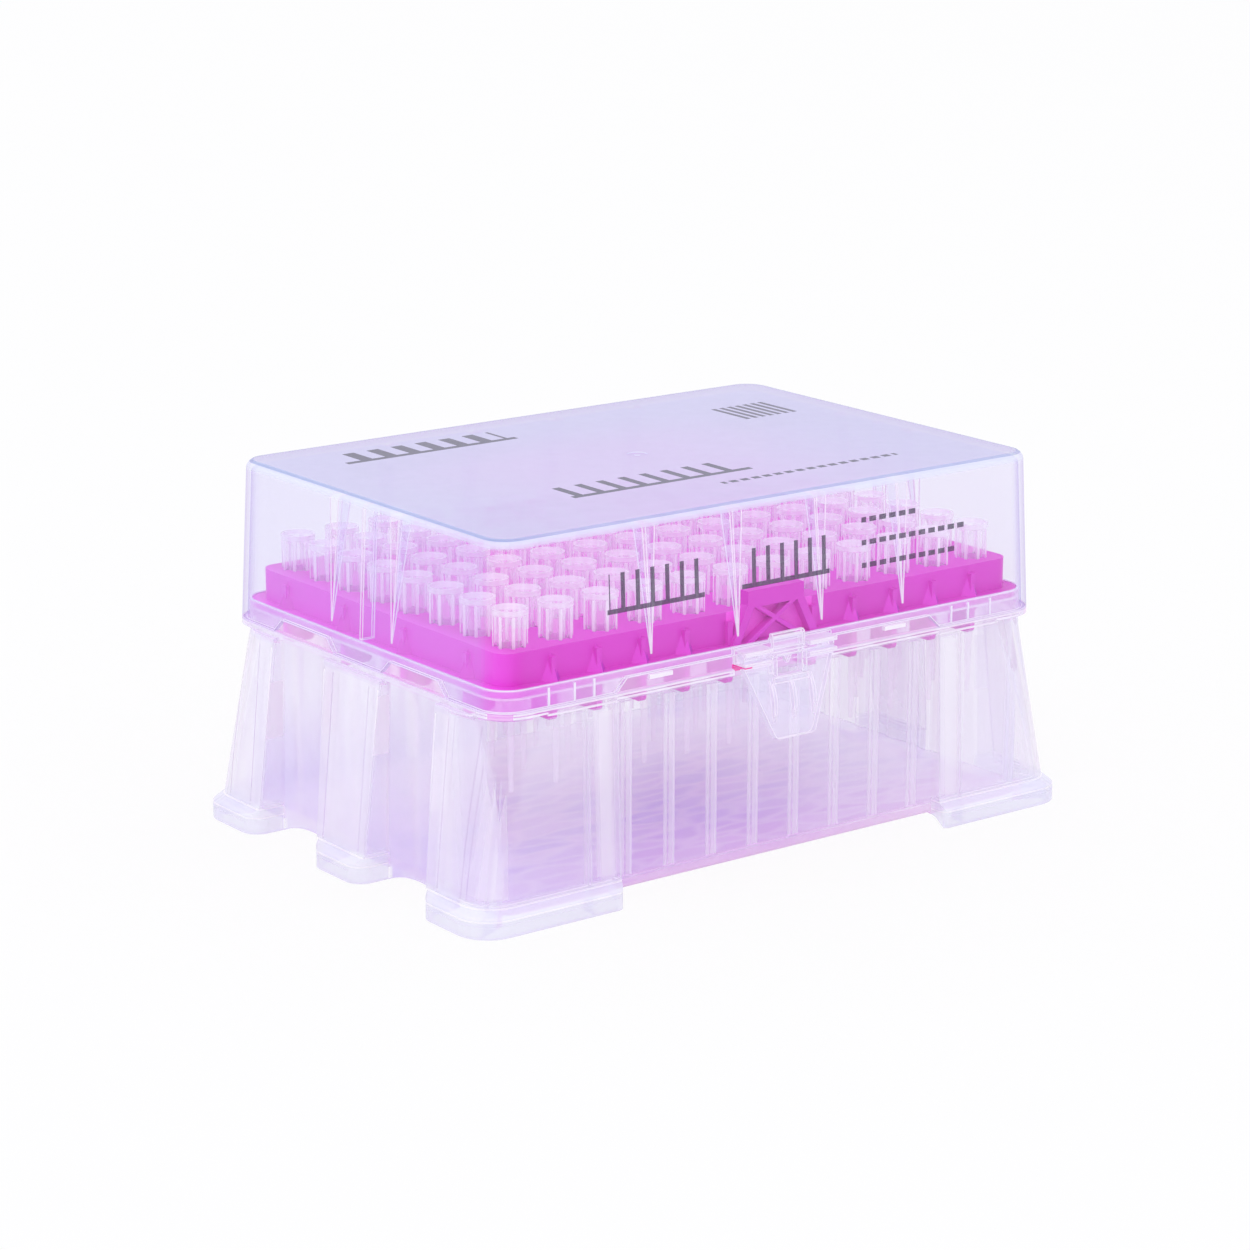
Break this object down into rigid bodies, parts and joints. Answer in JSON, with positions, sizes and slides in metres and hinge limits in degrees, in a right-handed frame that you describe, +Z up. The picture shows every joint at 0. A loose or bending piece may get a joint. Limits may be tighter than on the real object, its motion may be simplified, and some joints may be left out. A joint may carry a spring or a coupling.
{
  "type": "pipette tip box",
  "caption": "Clear box with a hinged lid and a press latch, holding a magenta rack of small clear pipette tips on flared hollow legs",
  "frame": {"origin": "centre of the footprint, on the surface the feet stand on", "axes": "+X along the long side, -Y towards the latch at the front, +Y towards the hinge, +Z up"},
  "size_m": [0.1276, 0.0877, 0.0637],
  "materials": {
    "clear_box": "clear polypropylene, slightly frosted",
    "clear_lid": "clear polypropylene, glossy",
    "clear_latch": "clear polypropylene, glossy",
    "rack": "magenta polypropylene, satin",
    "tips": "natural polypropylene, thin walled"
  },
  "bodies": {
    "box": {"base": "clear_box", "tip_rack": "rack", "tips_column_01": "tips", "tips_column_02": "tips", "tips_column_03": "tips", "tips_column_04": "tips", "tips_column_05": "tips", "tips_column_06": "tips", "tips_column_07": "tips", "tips_column_08": "tips", "tips_column_09": "tips", "tips_column_10": "tips", "tips_column_11": "tips", "tips_column_12": "tips"},
    "lid": {"lid": "clear_lid"},
    "latch": {"latch": "clear_latch"}
  },
  "joints": [
    {"name": "lid_hinge", "type": "hinge", "parent": "box", "child": "lid", "pos_m": [0, 0.0421, 0.0353], "axis": [-1, 0, 0], "range_deg": [0, 105]},
    {"name": "latch_hinge", "type": "hinge", "parent": "box", "child": "latch", "pos_m": [0, -0.041, 0.0375], "axis": [1, 0, 0], "range_deg": [0, 12], "stiffness_Nm_per_rad": 0.002}
  ]
}
